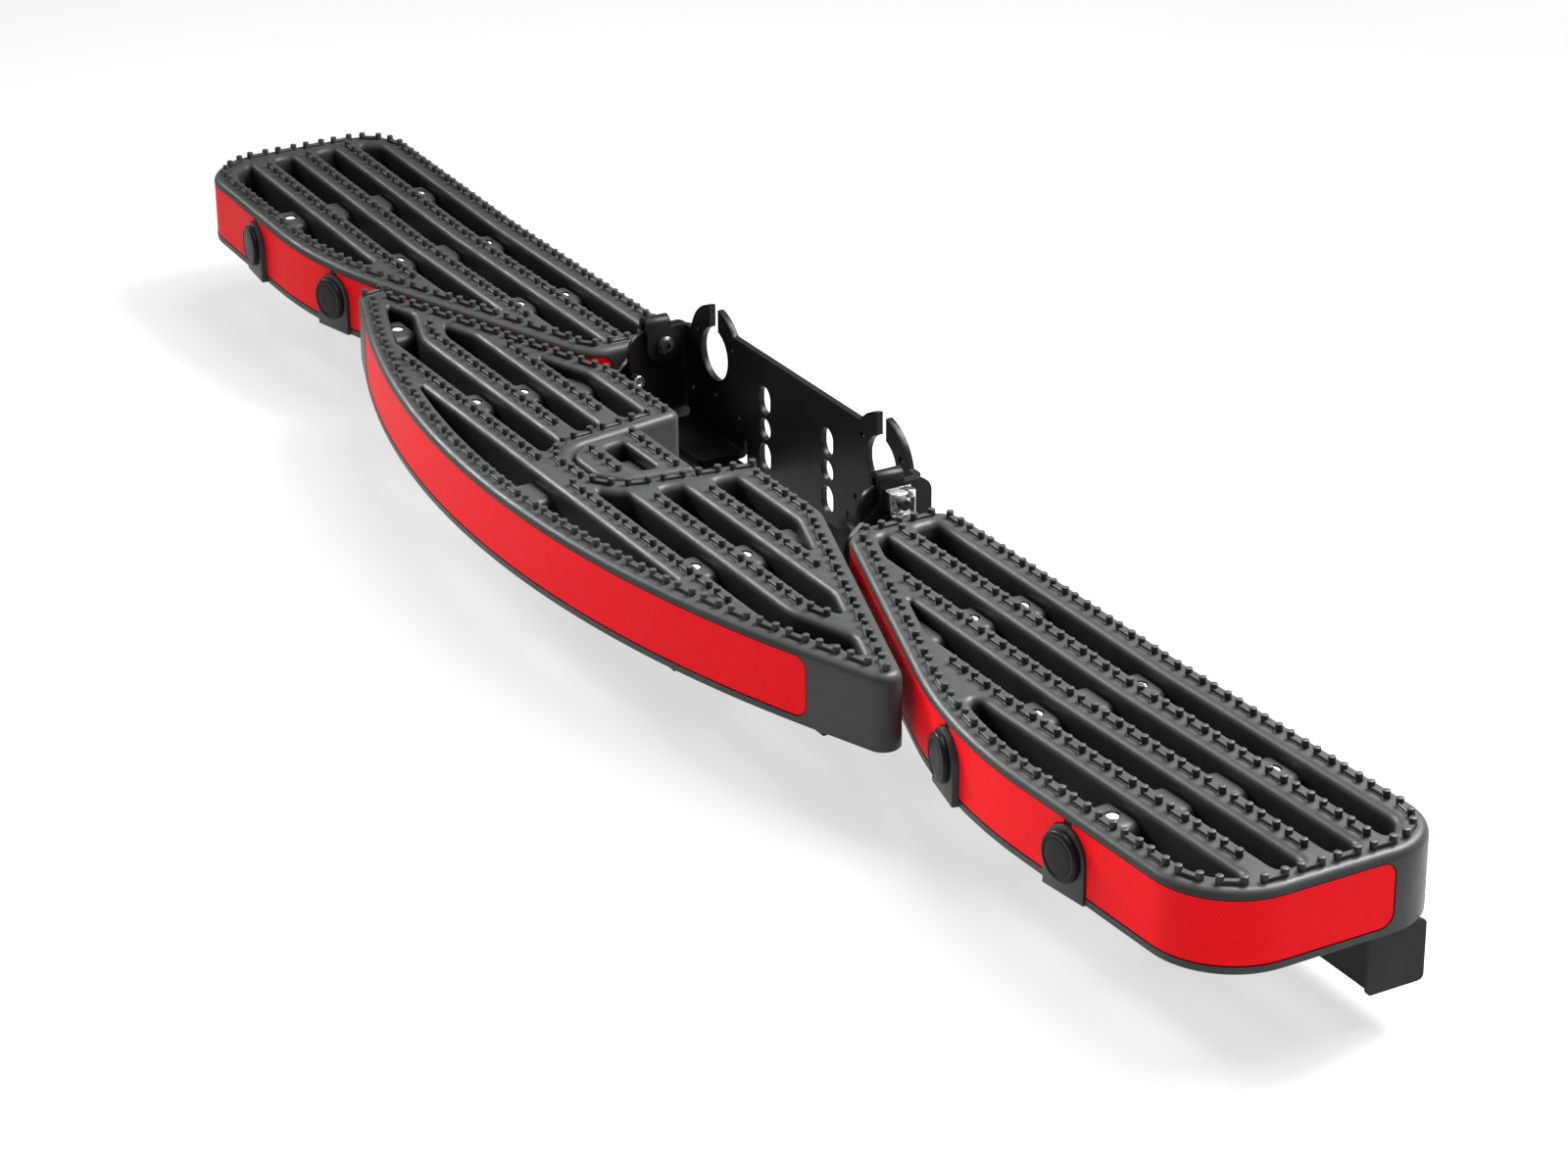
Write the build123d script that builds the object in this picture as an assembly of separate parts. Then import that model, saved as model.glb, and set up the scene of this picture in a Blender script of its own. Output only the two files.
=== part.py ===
from build123d import *
import math
import os

os.makedirs("parts", exist_ok=True)

# Millimetres, +Z up, +Y towards the vehicle. The origin is on the tow-bar face of the bracket,
# in the middle of the bolt pattern. The step is symmetric about X = 0.

# Tread sections
deck_z = 25.0
skirt_height = 54.0
wall = 3.5
deck_thickness = 5.0
over = 1.0
edge_bevel = 3.6
rim_width = 20.0
rib_pitch = 38.9
rib_width = 22.0
slot_corner = 3.0
blunt_angle = 50.0
blunt_share = 0.4
least_edge = 0.001
chord_sag = 0.3
first_slot_back = -14.0
skirt_z = deck_z - skirt_height
slot_width = rib_pitch - rib_width

# Wing outline
wing_inner_x = 187.0
wing_outer_x = 739.0
wing_inner_round = 26.0
wing_back_round = 45.0
wing_front_round = 55.0
wing_front_y = -167.0
wing_front_x = 600.0
wing_curve = 450.0
bend_x = 470.0
bend_slope = 0.034
seam_slope = -0.34
seam_gap = 7.2
front_slot_x = 448.0
beyond = 50.0

# Centre outline
centre_front_y = -249.0
centre_front_radius = 1000.0
centre_tip_x = 340.0
centre_tip_round = 12.0
centre_shoulder_x = 151.0
centre_shoulder_round = 30.0
notch_half_width = 51.5
notch_taper = 0.1625
notch_front_y = -176.0
notch_round = 28.0
notch_edge_bevel = 9.0
infill_gap = 2.0
infill_rim = 12.0
infill_bevel = 3.0
infill_corner = 6.0
rib_rise_x = 280.0
rib_rise_slope = 0.34
rib_rise_round = 60.0

# Cleats: low ridges, each where a pair of studs and their bar stand
stud_spacing = 12.9
stud_diameter = 5.0
cleat_pitch = 25.8
cleat_height = 3.5
cleat_inset = 10.5
cleat_margin = 7.0
wing_rib_cleats = (216.0, 286.0, 406.0)
centre_rib_cleats = (66.5, 59.0, 34.0)

# Screw pads in the slots
pad_depth = 10.0
pad_flat = 25.0
pad_round = 13.0
pad_thickness = 15.0
wing_columns = (330.3, 466.7, 602.5)
centre_column = 167.4
centre_outer_column = 330.0
centre_outer_y = -165.0
centre_plain_column = 160.0

# Reflective strips
strip_top = 6.0
strip_height = 42.0
strip_thickness = 1.2
strip_recess = 1.5
strip_margin = 0.8
strip_round = 9.0
wing_strip_inner_y = -56.0
wing_strip_outer_y = -31.0
centre_strip_x = 335.0

# Sensor seats
sensor_columns = (459.0, 602.0)
sensor_turns = (13.0, -6.0)
sensor_drop = 28.0
sensor_z = deck_z - sensor_drop
seat_radius = 19.0
seat_proud = 3.0
seat_depth = 6.5
seat_neck = 8.0
plug_diameter = 33.0
plug_thickness = 4.5
plug_rim = 1.2

# Main bracket
sheet = 5.0
bend_radius = 3.0
bolt_spacing = 90.0
bolt_hole = 17.0
bolt_slot = 22.0
bolt_slot_rise = 22.3
plate_top = 56.0
plate_bottom = -50.0
plate_top_half = 91.0
plate_low_half = 72.0
flange_x = 170.0
flange_front = -52.0
flange_top = 42.0
flange_bottom = -24.0
flange_round = 16.0
fold_z = -20.0
socket_x = 120.0
socket_z = 33.0
socket_hole = 40.5
horn_radius = 37.0
horn_slot = 12.0
small_hole = 5.5
socket_screws = ((-26.0, 12.5), (26.0, 12.5), (0.0, -31.5), (-35.0, -38.0), (35.0, -38.0))
shelf_top = -30.0
shelf_inner_x = 77.0
shelf_outer_x = 160.0
shelf_front = -41.0
shelf_round = 6.0

# Arm brackets, bolts and pins
arm_sheet = 4.0
hook_back = -19.0
hook_front = -39.0
hook_z = 46.0
arm_front = -65.0
arm_back = 3.0
arm_shoulder_z = 7.0
arm_neck_z = 30.0
lobe_top = 43.0
lobe_round = 11.0
arm_round = 16.0
tab_radius = 14.5
arm_bolt_y = -24.5
arm_bolt_z = 30.5
arm_bolt = 8.0
arm_hole = 8.4
button_head = 14.0
button_height = 4.4
bolt_end = 2.0
hex_key = 5.0
cage_size = 20.0
cage_depth = 9.0
pin_y = -48.0
pin_z = 6.0
pin_diameter = 9.5
pin_clearance = 0.25
pin_overhang = 7.0

# Tubes and cross bars
tube_size = 40.0
tube_wall = 3.0
tube_round = 4.0
tube_y = -22.0
tube_setback = 8.0
tube_end_x = wing_outer_x - tube_setback
cap_thickness = 2.5
cap_lip = 0.8
cap_insert = 12.0
bar_width = 30.0
bar_height = 14.0
bar_sheet = 3.0
bar_overhang = 14.0

# Centre carrier
carrier_sheet = 4.0
carrier_half = 190.0
carrier_back = -112.0
carrier_front = -204.0
carrier_lip = 12.0
carrier_arm_x = 336.0
carrier_arm_back = -150.0
carrier_arm_front = -178.0
tongue_inner = 55.0
tongue_outer = 156.0
tongue_back = -9.0
carrier_z = shelf_top - sheet


def corner_frame(corners, i):
    """Corner i with the unit directions into it and out of it."""
    here = Vector(*corners[i][:2])
    into = (here - Vector(*corners[i - 1][:2])).normalized()
    out = (Vector(*corners[(i + 1) % len(corners)][:2]) - here).normalized()
    return here, into, out


def rounded_face(corners):
    """Face through (x, y, radius) corners, each rounded by its own radius."""
    edges = []
    starts = []
    ends = []
    for i, (x, y, radius) in enumerate(corners):
        here, into, out = corner_frame(corners, i)
        half_turn = math.radians(into.get_angle(out)) / 2
        reach = radius * math.tan(half_turn)
        starts.append(here - into * reach)
        ends.append(here + out * reach)
        if radius > 0:
            towards_centre = (out - into).normalized()
            middle = here + towards_centre * (radius / math.cos(half_turn) - radius)
            edges.append(ThreePointArc(starts[i], middle, ends[i]))
    for i in range(len(corners)):
        if (starts[i] - ends[i - 1]).length > least_edge:
            edges.append(Line(ends[i - 1], starts[i]))
    return make_face(edges)


def inset(corners, amount):
    """The same outline moved inwards; the corners run anticlockwise."""
    moved = []
    for i, (x, y, radius) in enumerate(corners):
        here, into, out = corner_frame(corners, i)
        normal_in = Vector(-into.Y, into.X)
        normal_out = Vector(-out.Y, out.X)
        point = here + (normal_in + normal_out) * (amount / (1 + normal_in.dot(normal_out)))
        convex = into.cross(out).Z > 0
        moved.append((point.X, point.Y, max(radius - amount if convex else radius + amount, 0)))
    return moved


def prism(face, z_low, z_high):
    return extrude(Pos(0, 0, z_low) * face, z_high - z_low, dir=(0, 0, 1))


def block(x, y, z):
    """Box from three (low, high) pairs."""
    return Pos(x[0], y[0], z[0]) * Box(x[1] - x[0], y[1] - y[0], z[1] - z[0], align=(Align.MIN,) * 3)


def rod_along_x(radius, x_low, x_high, y, z):
    shape = Cylinder(radius, x_high - x_low, align=(Align.CENTER, Align.CENTER, Align.MIN))
    return Pos(x_low, y, z) * Rot(0, 90, 0) * shape


def mirrored(shape):
    return mirror(shape, about=Plane.YZ)


def both_sides(shape):
    return [shape, mirrored(shape)]


# Outlines, as corner lists

def seam_y(x, gap):
    """Edge along the seam between centre and wing, a gap beyond the centre's own edge."""
    centre_back = first_slot_back - 2 * rib_pitch + rib_width
    return centre_back + seam_slope * (x - centre_shoulder_x) + gap / math.cos(math.atan(seam_slope))


def bend(x):
    """How far the outer part of a wing leans back towards the vehicle."""
    return max(0.0, x - bend_x) * bend_slope


def wing_corners():
    front_at_zero = wing_front_y - bend_slope * wing_front_x
    seam_at_zero = seam_y(0, seam_gap)
    curve_x = (front_at_zero - seam_at_zero) / (seam_slope - bend_slope)
    back = first_slot_back + rib_width
    return [
        (wing_inner_x, back, wing_inner_round),
        (wing_inner_x, seam_y(wing_inner_x, seam_gap), wing_inner_round),
        (curve_x, seam_y(curve_x, seam_gap), wing_curve),
        (wing_outer_x, front_at_zero + bend_slope * wing_outer_x, wing_front_round),
        (wing_outer_x, back + bend(wing_outer_x), wing_back_round),
        (bend_x, back, 0),
    ]


def centre_corners():
    centre_back = first_slot_back - 2 * rib_pitch + rib_width
    tip_slope = centre_tip_x / math.sqrt(centre_front_radius**2 - centre_tip_x**2)
    tip_rise = centre_front_radius - math.sqrt(centre_front_radius**2 - centre_tip_x**2)
    front_vertex = centre_front_y + tip_rise - tip_slope * centre_tip_x
    seam_at_zero = seam_y(0, 0)
    tip_x = (seam_at_zero - front_vertex) / (tip_slope - seam_slope)
    tip_y = front_vertex + tip_slope * tip_x
    notch_front_half = notch_half_width - notch_taper * (centre_back - notch_front_y)
    right = [
        (tip_x, tip_y, centre_tip_round),
        (centre_shoulder_x, centre_back, centre_shoulder_round),
        (notch_half_width, centre_back, notch_edge_bevel),
        (notch_front_half, notch_front_y, notch_round),
    ]
    left = [(-x, y, radius) for x, y, radius in reversed(right)]
    return [(0, front_vertex, centre_front_radius)] + right + left


def notch_corners():
    back = first_slot_back - 3 * rib_pitch + rib_width
    centre_back = first_slot_back - 2 * rib_pitch + rib_width
    back_half = notch_half_width - notch_taper * (centre_back - back)
    front_half = notch_half_width - notch_taper * (centre_back - notch_front_y)
    return [
        (-front_half, notch_front_y, notch_round),
        (front_half, notch_front_y, notch_round),
        (back_half, back + infill_gap, infill_corner),
        (-back_half, back + infill_gap, infill_corner),
    ]


# Slots: bands between the ribs, cut to the inside of the rim

def slot_points(face):
    """Points round a slot in order, with arcs as short chords."""
    left = list(face.outer_wire().edges())
    at = left[0] @ 0
    points = []
    while left:
        edge = min(left, key=lambda side: min((side @ 0 - at).length, (side @ 1 - at).length))
        left.remove(edge)
        start, end = (0, 1) if (edge @ 0 - at).length < (edge @ 1 - at).length else (1, 0)
        steps = 1
        if edge.geom_type == GeomType.CIRCLE:
            chord = 2 * math.acos(1 - chord_sag / edge.radius)
            steps = math.ceil(edge.length / edge.radius / chord)
        points += [edge @ (start + (end - start) * i / steps) for i in range(steps)]
        at = edge @ end
    area = sum(a.cross(b).Z for a, b in zip(points, points[1:] + points[:1]))
    return points if area > 0 else points[::-1]


def slot_outline(face):
    """Corner list of a slot, anticlockwise, with its sharp corners blunted."""
    points = slot_points(face)
    corners = [(point.X, point.Y) for point in points]
    outline = []
    for i in range(len(corners)):
        here, into, out = corner_frame(corners, i)
        if into.get_angle(out) < blunt_angle:
            outline.append(here)
            continue
        shorter = min((here - points[i - 1]).length, (here - points[(i + 1) % len(points)]).length)
        blunt = min(slot_corner, blunt_share * shorter)
        outline += [here - into * blunt, here + out * blunt]
    return [(point.X, point.Y, 0) for point in outline]


def wing_slots(region):
    far = wing_outer_x + beyond
    slots = []
    for row in range(4):
        back = first_slot_back - row * rib_pitch
        front = back - slot_width if row < 3 else back - 2 * slot_width
        start = front_slot_x if row == 3 else 0
        upper = [(start, back), (bend_x, back), (far, back + bend(far))]
        lower = [(far, front + bend(far)), (bend_x, front), (start, front)]
        band = make_face(Polyline(*upper, *lower, close=True))
        slots.append(slot_outline((region & band).face()))
    return slots


def centre_slots(region):
    far = centre_tip_x + beyond
    rise = rib_rise_slope * (far - rib_rise_x)
    slots = []
    for row, back_rise, front_rise in ((2, 0, 0), (3, 0, rise), (4, rise, 0), (5, 0, 0)):
        back = first_slot_back - row * rib_pitch
        front = back - slot_width if row < 5 else back - 2 * slot_width
        right = [
            (rib_rise_x, front, rib_rise_round if front_rise else 0),
            (far, front + front_rise, 0),
            (far, back + back_rise, 0),
            (rib_rise_x, back, rib_rise_round if back_rise else 0),
        ]
        left = [(-x, y, radius) for x, y, radius in reversed(right)]
        slots += [slot_outline(piece) for piece in (region & rounded_face(right + left)).faces()]
    return slots


def slot_middle(row):
    return first_slot_back - row * rib_pitch - slot_width / 2


def rib_middle(row):
    return first_slot_back - row * rib_pitch + rib_width / 2


# Tread features

def pad(x, y, foot_z):
    """Seat across a slot, with round shoulders on both sides, down to its foot."""
    flat = pad_flat / 2
    top = deck_z - pad_depth
    right = [(flat + pad_round, foot_z), (flat + pad_round, top - pad_round)]
    for turn in (math.pi / 4, 0):
        right.append((flat + pad_round * math.sin(turn), top - pad_round * (1 - math.cos(turn))))
    left = [(-across, up) for across, up in reversed(right)]
    profile = make_face(Polyline(*right, *left, close=True))
    width = slot_width + wall
    return Pos(x, y + width / 2, 0) * extrude(Plane.XZ * profile, width)


def cleat(x, y, angle):
    """Low ridge with a sharp crest."""
    half = stud_diameter / 2
    profile = make_face(Polyline((-half, 0), (half, 0), (0, cleat_height), close=True))
    length = stud_spacing + stud_diameter
    ridge = extrude(Plane.YZ.offset(-length / 2) * profile, length)
    return Pos(x, y, deck_z) * Rot(0, 0, angle) * ridge


def rim_cleats(corners):
    """Cleats spread evenly round the rim."""
    path = rounded_face(inset(corners, cleat_inset)).face().outer_wire()
    count = round(path.length / cleat_pitch)
    places = [(path @ (i / count), path % (i / count)) for i in range(count)]
    return [cleat(at.X, at.Y, math.degrees(math.atan2(way.Y, way.X))) for at, way in places]


def wing_rib(row, x):
    """Height along Y and direction of a wing's rib at x."""
    return rib_middle(row) + bend(x), math.degrees(math.atan(bend_slope)) if x > bend_x else 0


def centre_rib(row, x):
    """The same for the centre, whose second rib rises to meet the seam."""
    past_rise = abs(x) - rib_rise_x
    if row != 4 or past_rise < 0:
        return rib_middle(row), 0
    angle = math.degrees(math.atan(rib_rise_slope))
    return rib_middle(row) + rib_rise_slope * past_rise, math.copysign(angle, x)


def rib_cleats(corners, rib, row, first_x, side):
    """Cleats along one rib, outwards from the first, kept clear of the rim's own row."""
    region = rounded_face(inset(corners, cleat_inset + cleat_margin)).face()
    cleats = []
    x = side * first_x
    while region.bounding_box().min.X < x < region.bounding_box().max.X:
        y, angle = rib(row, x)
        reach = Vector(stud_spacing / 2, 0).rotate(Axis.Z, angle)
        if region.is_inside(Vector(x, y) - reach) and region.is_inside(Vector(x, y) + reach):
            cleats.append(cleat(x, y, angle))
        x += side * cleat_pitch
    return cleats


def flared_cut(slot, edge):
    """Slot through the deck, opening out towards the top."""
    low = [(x, y, deck_z - edge) for x, y, radius in slot]
    high = [(x, y, deck_z + over) for x, y, radius in inset(slot, -edge - over)]
    faces = [Face(Wire.make_polygon(ring)) for ring in (low, high)]
    for i in range(len(slot)):
        faces.append(Face(Wire.make_polygon([low[i - 1], low[i], high[i], high[i - 1]])))
    return [prism(rounded_face(slot), skirt_z - over, deck_z - edge), Solid(Shell(faces))]


def shell(corners, slots, edge):
    """Skirted deck with open slots, hollow ribs and bevelled upper edges."""
    body = prism(rounded_face(corners), skirt_z, deck_z)
    body = chamfer(body.edges().group_by(Axis.Z)[-1], edge)
    hollow = prism(rounded_face(inset(corners, wall)), skirt_z - over, deck_z - deck_thickness)
    hollow -= [prism(rounded_face(inset(slot, -wall)), skirt_z - over, deck_z) for slot in slots]
    body -= hollow
    for slot in slots:
        body -= flared_cut(slot, edge)
    return body


def pads(plain_places, screw_places, foot_z):
    """Plain seats and, under the screws, seats that stand on the steel below."""
    plain_foot = deck_z - pad_depth - pad_thickness
    seats = [pad(x, y, plain_foot) for x, y in plain_places]
    return seats + [pad(x, y, foot_z) for x, y in screw_places]


# Strips and sensor seats on the skirt

def strip_band(corners, window, inner, outer):
    """Band that follows the skirt, between two depths, inside a window."""
    ring = rounded_face(inset(corners, outer)) - rounded_face(inset(corners, inner))
    return prism(ring, skirt_z, deck_z) & window


def wing_window(grow):
    """Window from the inner end wall round the front to the outer end wall, with round ends."""
    high = deck_z - strip_top + grow
    low = deck_z - strip_top - strip_height - grow
    front = wing_front_y - seat_radius
    halves = []
    for end, x_low, x_high in (
        (wing_strip_inner_y + grow, wing_inner_x - wall, bend_x),
        (wing_strip_outer_y + grow, bend_x, wing_outer_x + wall),
    ):
        round_end = strip_round + grow
        corners = [(front, low, 0), (end, low, round_end), (end, high, round_end), (front, high, 0)]
        halves.append(extrude(Plane.YZ.offset(x_low) * rounded_face(corners), x_high - x_low))
    return halves[0] + halves[1]


def centre_window(grow):
    face = RectangleRounded(2 * (centre_strip_x + grow), strip_height + 2 * grow, strip_round + grow)
    middle = deck_z - strip_top - strip_height / 2
    start = notch_front_y - 2 * wall
    return extrude(Plane.XZ.offset(-start) * Pos(0, middle) * face, -centre_front_y)


def front_wall(x):
    """Point on the wing's front wall at x."""
    vertex, into, out = corner_frame(wing_corners(), 2)
    half_turn = math.radians(into.get_angle(out)) / 2
    centre = vertex + (out - into).normalized() * (wing_curve / math.cos(half_turn))
    side = min(x - centre.X, wing_curve * out.Y)
    outward = Vector(side, -math.sqrt(wing_curve**2 - side**2)).normalized()
    on_arc = centre + outward * wing_curve
    return on_arc + out * ((x - on_arc.X) / out.X)


def sensor_planes():
    """Planes of a wing's sensor seats, with Y up and Z out of the skirt, turned towards the middle."""
    planes = []
    for x, turn in zip(sensor_columns, sensor_turns):
        at = front_wall(x)
        outward = Vector(0, -1).rotate(Axis.Z, -turn)
        planes.append(Plane((at.X, at.Y, sensor_z), x_dir=(-outward.Y, outward.X, 0), z_dir=outward))
    return planes


def seat(plane, radius, low, high):
    """Arch-topped block on the skirt, between two distances from the seat's plane."""
    drop = sensor_z - skirt_z
    face = Circle(radius) + Pos(0, -drop / 2) * Rectangle(2 * radius, drop)
    return extrude(plane.offset(low) * face, high - low)


def seat_clearance(plane):
    """Room that the strips leave for a seat and for the neck above it."""
    neck = Pos(0, strip_height / 2) * Rectangle(seat_neck, strip_height)
    room = seat(plane, seat_radius + strip_margin, -seat_depth, seat_depth)
    return room + extrude(plane.offset(-seat_depth) * neck, 2 * seat_depth)


def plug(plane):
    """Round plug with a bevelled edge, on the face of its seat."""
    disc = Cylinder(plug_diameter / 2, plug_thickness, align=(Align.CENTER, Align.CENTER, Align.MIN))
    disc = chamfer(disc.edges().group_by(Axis.Z)[-1], plug_rim)
    return plane.offset(seat_proud).location * disc


# Tread sections

def wing_tread():
    corners = wing_corners()
    slots = wing_slots(rounded_face(inset(corners, rim_width)))
    body = shell(corners, slots, edge_bevel)
    body += pads(wing_plain_places(), wing_screw_places(), skirt_z)
    body -= strip_band(corners, wing_window(strip_margin), strip_recess, -over)
    for plane in sensor_planes():
        body += seat(plane, seat_radius, -seat_depth, seat_proud)
    cleats = rim_cleats(corners)
    for row, first_x in zip((1, 2, 3), wing_rib_cleats):
        cleats += rib_cleats(corners, wing_rib, row, first_x, 1)
    return body + cleats


def wing_plain_places():
    places = [(1, wing_columns[1]), (1, wing_columns[2]), (2, wing_columns[0]), (2, wing_columns[2])]
    return [(x, slot_middle(row) + bend(x)) for row, x in places]


def wing_screw_places():
    back_row = [(x, slot_middle(0) + bend(x)) for x in wing_columns]
    front_row = [(x, slot_middle(row + 1) + bend(x)) for row, x in enumerate(wing_columns)]
    return back_row + front_row


def centre_tread():
    corners = centre_corners()
    body = shell(corners, centre_slots(rounded_face(inset(corners, rim_width))), edge_bevel)
    plain = [(side * centre_plain_column, slot_middle(2)) for side in (-1, 1)] + [(0, slot_middle(5))]
    body += pads(plain, centre_screw_places(), carrier_z)
    body -= strip_band(corners, centre_window(strip_margin), strip_recess, -over)
    cleats = rim_cleats(corners)
    for row, first_x in zip((3, 4, 5), centre_rib_cleats):
        cleats += rib_cleats(corners, centre_rib, row, first_x, -1)
        cleats += rib_cleats(corners, centre_rib, row, first_x, 1)
    return body + cleats


def centre_screw_places():
    inner = [(side * centre_column, slot_middle(row)) for side in (-1, 1) for row in (3, 4)]
    return inner + [(side * centre_outer_column, centre_outer_y) for side in (-1, 1)]


def tow_ball_infill():
    corners = inset(notch_corners(), infill_gap)
    region = rounded_face(inset(corners, infill_rim))
    back = first_slot_back - 3 * rib_pitch
    band = Pos(0, back - slot_width / 2) * Rectangle(2 * notch_half_width, slot_width)
    pocket = slot_outline((region & band).face())
    body = shell(corners, [pocket], infill_bevel)
    body += pad(0, slot_middle(3), carrier_z)
    cleats = [cleat(x, rib_middle(3), 0) for x in (-cleat_pitch, 0, cleat_pitch)]
    cleats += [cleat(side * cleat_pitch / 2, rib_middle(4), 0) for side in (-1, 1)]
    return body + cleats


# Strips

def wing_strips():
    """Inner, middle and outer strip of one wing, parted by the sensor seats."""
    depth = strip_recess - strip_thickness
    band = strip_band(wing_corners(), wing_window(0), strip_recess, depth)
    for plane in sensor_planes():
        band -= seat_clearance(plane)
    return band.solids().sort_by(Axis.X)


def centre_strip():
    depth = strip_recess - strip_thickness
    return strip_band(centre_corners(), centre_window(0), strip_recess, depth)


# Bracket

def main_bracket():
    flat_half = flange_x - sheet - bend_radius
    face = Pos(0, (fold_z + flange_top) / 2) * Rectangle(2 * flat_half, flange_top - fold_z)
    face += Pos(0, (fold_z + plate_top) / 2) * Rectangle(2 * plate_top_half, plate_top - fold_z)
    face += Pos(0, (fold_z + plate_bottom) / 2) * Rectangle(2 * plate_low_half, fold_z - plate_bottom)
    for side in (-1, 1):
        face += Pos(side * socket_x, socket_z) * Circle(horn_radius)
    for side in (-1, 1):
        face -= Pos(side * socket_x, socket_z) * Circle(socket_hole / 2)
        face -= Pos(side * socket_x, socket_z + horn_radius) * Rectangle(horn_slot, 2 * horn_radius)
        for x, z in socket_screws:
            face -= Pos(side * socket_x + x, socket_z + z) * Circle(small_hole / 2)
        face -= Pos(side * bolt_spacing / 2, 0) * Circle(bolt_hole / 2)
        for rise in (-bolt_slot_rise, bolt_slot_rise):
            slot = Rot(0, 0, 90) * SlotOverall(bolt_slot, bolt_hole)
            face -= Pos(side * bolt_spacing / 2, rise) * slot
    body = extrude(Plane.XZ * face, sheet)
    body += both_sides(bracket_flange())
    body += both_sides(bracket_shelf())
    return body


def bracket_flange():
    """Side flange with its bend, the bolt hole and the open notch for the locating pin."""
    outer = bend_radius + sheet
    centre = (flange_x - outer, -outer)
    quarter = Pos(*centre) * (Circle(outer) - Circle(bend_radius))
    quarter &= Pos(centre[0] + outer / 2, centre[1] + outer / 2) * Rectangle(outer, outer)
    profile = rounded_face([
        (flange_front, flange_bottom, flange_round / 2),
        (-outer, flange_bottom, 0),
        (-outer, flange_top, 0),
        (flange_front, flange_top, flange_round),
    ])
    notch_radius = pin_diameter / 2 + pin_clearance
    profile -= Pos(pin_y, pin_z) * Circle(notch_radius)
    mouth = pin_y - flange_front
    profile -= Pos(pin_y - mouth, pin_z) * Rectangle(2 * mouth, 2 * notch_radius)
    profile -= Pos(arm_bolt_y, arm_bolt_z) * Circle(arm_hole / 2)
    flange = extrude(Plane.YZ.offset(flange_x - sheet) * profile, sheet)
    return flange + prism(quarter, flange_bottom, flange_top)


def bracket_shelf():
    """Lower edge of the plate folded forwards into a shelf."""
    profile = rounded_face([
        (0, fold_z, 0),
        (-sheet, fold_z, 0),
        (-sheet, shelf_top, bend_radius),
        (shelf_front, shelf_top, 0),
        (shelf_front, shelf_top - sheet, 0),
        (0, shelf_top - sheet, bend_radius + sheet),
    ])
    shelf = extrude(Plane.YZ.offset(shelf_inner_x) * profile, shelf_outer_x - shelf_inner_x)
    front = shelf.edges().filter_by(Axis.Z).group_by(Axis.Y)[0]
    return fillet(front, shelf_round)


# Arms that hook over the flanges

def arm_bracket():
    """Arm plate outside the flange, rolled over its top into a short bolted tab inside."""
    outer_face = flange_x + arm_sheet
    foot = skirt_z - tube_size
    plate = rounded_face([
        (hook_back, hook_z, 0),
        (hook_front, hook_z, 0),
        (hook_front, arm_neck_z, arm_round),
        (arm_front, arm_shoulder_z, arm_round),
        (arm_front, foot, lobe_round),
        (arm_back, foot, lobe_round),
        (arm_back, lobe_top, lobe_round),
        (hook_back, lobe_top, 0),
    ])
    plate -= Pos(arm_bolt_y, arm_bolt_z) * Circle(arm_hole / 2)
    plate -= Pos(pin_y, pin_z) * Circle(pin_diameter / 2)
    body = extrude(Plane.YZ.offset(flange_x) * plate, arm_sheet)
    tab = Pos((hook_back + hook_front) / 2, (arm_bolt_z + hook_z) / 2) * Rectangle(
        hook_back - hook_front, hook_z - arm_bolt_z
    )
    tab += Pos(arm_bolt_y, arm_bolt_z) * Circle(tab_radius)
    tab -= Pos(arm_bolt_y, arm_bolt_z) * Circle(arm_hole / 2)
    body += extrude(Plane.YZ.offset(flange_x - sheet - arm_sheet) * tab, arm_sheet)
    roll = Circle(sheet / 2 + arm_sheet) - Circle(sheet / 2)
    roll &= Pos(0, sheet) * Rectangle(4 * sheet, 2 * sheet)
    middle = flange_x - sheet / 2
    hook = extrude(Plane.XZ.offset(-hook_back) * Pos(middle, hook_z) * roll, hook_back - hook_front)
    return body + hook


def arm_bolt_solid():
    """Button-head bolt from the inside, with a hexagon recess."""
    inner_face = flange_x - sheet - arm_sheet
    end = flange_x + arm_sheet + cage_depth + bolt_end
    head = rod_along_x(button_head / 2, inner_face - button_height, inner_face, arm_bolt_y, arm_bolt_z)
    head = chamfer(head.edges().group_by(Axis.X)[0], button_height / 2)
    shank = rod_along_x(arm_bolt / 2, inner_face, end, arm_bolt_y, arm_bolt_z)
    recess = Plane.YZ.offset(inner_face - button_height) * Pos(arm_bolt_y, arm_bolt_z)
    return head + shank - extrude(recess * RegularPolygon(hex_key / math.sqrt(3), 6), button_height / 2)


def cage_nut():
    face = Rectangle(cage_size, cage_size) - Circle(arm_bolt / 2)
    at = Plane.YZ.offset(flange_x + arm_sheet) * Pos(arm_bolt_y, arm_bolt_z)
    return extrude(at * face, cage_depth)


def locating_pin():
    low = flange_x - sheet - pin_overhang
    return rod_along_x(pin_diameter / 2, low, flange_x + arm_sheet, pin_y, pin_z)


# Tubes, caps and cross bars

def tube():
    start = flange_x + arm_sheet
    inner = tube_size - 2 * tube_wall
    face = RectangleRounded(tube_size, tube_size, tube_round)
    face -= Rectangle(inner, inner)
    at = Plane.YZ.offset(start) * Pos(tube_y, skirt_z - tube_size / 2)
    return extrude(at * face, tube_end_x - start)


def end_cap():
    side = tube_size + 2 * cap_lip
    inner = tube_size - 2 * tube_wall
    at = Plane.YZ.offset(tube_end_x) * Pos(tube_y, skirt_z - tube_size / 2 - cap_lip)
    lid = extrude(at * RectangleRounded(side, side, tube_round), cap_thickness)
    at = Plane.YZ.offset(tube_end_x - cap_insert) * Pos(tube_y, skirt_z - tube_size / 2)
    return lid + extrude(at * Rectangle(inner, inner), cap_insert)


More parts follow.
